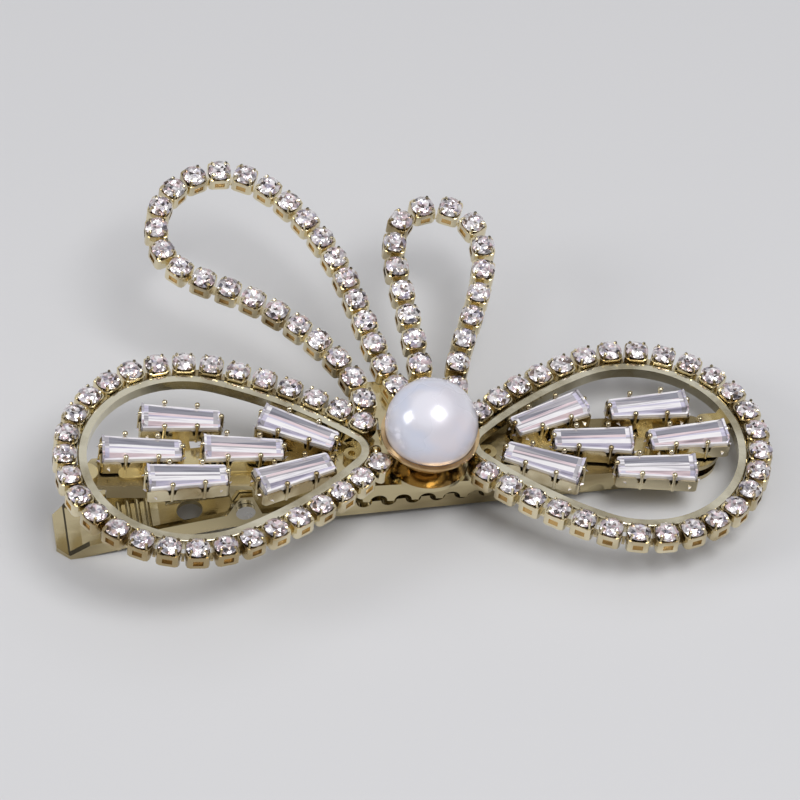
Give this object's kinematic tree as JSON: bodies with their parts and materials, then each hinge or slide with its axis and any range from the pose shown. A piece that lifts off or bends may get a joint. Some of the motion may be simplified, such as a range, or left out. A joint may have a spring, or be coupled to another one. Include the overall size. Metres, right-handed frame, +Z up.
{
  "type": "rhinestone hair clip",
  "caption": "Alligator hair clip with a bow of two stone-edged teardrop wings, tapered baguettes, a pearl at the knot and two stone loops behind; sprung toothed jaw.",
  "frame": {"origin": "middle of the bounding box at the table it rests on", "axes": "+X along the clip towards the tip of the jaw, +Y to the back where the two loops stand, +Z up from the table"},
  "size_m": [0.0782, 0.0542, 0.0168],
  "materials": {
    "clip_metal": "bright plated pale champagne",
    "spring_steel": "bright drawn wire",
    "setting_gold": "polished pale gold plate",
    "cup_gold": "polished gold plate",
    "brilliant": "faceted, foil-backed",
    "baguette": "step-cut, clear",
    "pearl": "pearl lacquer"
  },
  "bodies": {
    "bow_and_top_arm": {"big_ear_cups": "setting_gold", "big_ear_links": "setting_gold", "big_ear_stones": "brilliant", "clip_top_arm": "clip_metal", "hinge_pin": "spring_steel", "knot_rivet": "cup_gold", "left_baguette_1": "baguette", "left_baguette_2": "baguette", "left_baguette_3": "baguette", "left_baguette_4": "baguette", "left_baguette_5": "baguette", "left_baguette_6": "baguette", "left_cluster_carrier": "cup_gold", "left_outer_tab": "cup_gold", "left_setting_1": "setting_gold", "left_setting_2": "setting_gold", "left_setting_3": "setting_gold", "left_setting_4": "setting_gold", "left_setting_5": "setting_gold", "left_setting_6": "setting_gold", "left_tip_tab": "cup_gold", "left_wing_cups": "setting_gold", "left_wing_frame": "setting_gold", "left_wing_links": "setting_gold", "left_wing_stones": "brilliant", "pearl": "pearl", "pearl_cup": "cup_gold", "pearl_foot": "cup_gold", "right_baguette_1": "baguette", "right_baguette_2": "baguette", "right_baguette_3": "baguette", "right_baguette_4": "baguette", "right_baguette_5": "baguette", "right_baguette_6": "baguette", "right_cluster_carrier": "cup_gold", "right_outer_tab": "cup_gold", "right_setting_1": "setting_gold", "right_setting_2": "setting_gold", "right_setting_3": "setting_gold", "right_setting_4": "setting_gold", "right_setting_5": "setting_gold", "right_setting_6": "setting_gold", "right_tip_tab": "cup_gold", "right_wing_cups": "setting_gold", "right_wing_frame": "setting_gold", "right_wing_links": "setting_gold", "right_wing_stones": "brilliant", "small_ear_cups": "setting_gold", "small_ear_links": "setting_gold", "small_ear_stones": "brilliant", "torsion_spring": "spring_steel"},
    "lower_arm": {"clip_lower_arm": "clip_metal"}
  },
  "joints": [
    {"name": "jaw_hinge", "type": "hinge", "parent": "bow_and_top_arm", "child": "lower_arm", "pos_m": [-0.01862, -0.01086, 0.00433], "axis": [0, 1, 0], "range_deg": [0, 20], "stiffness_Nm_per_rad": 0.07, "springref_deg": -63.03, "deforming": ["torsion_spring"]}
  ]
}
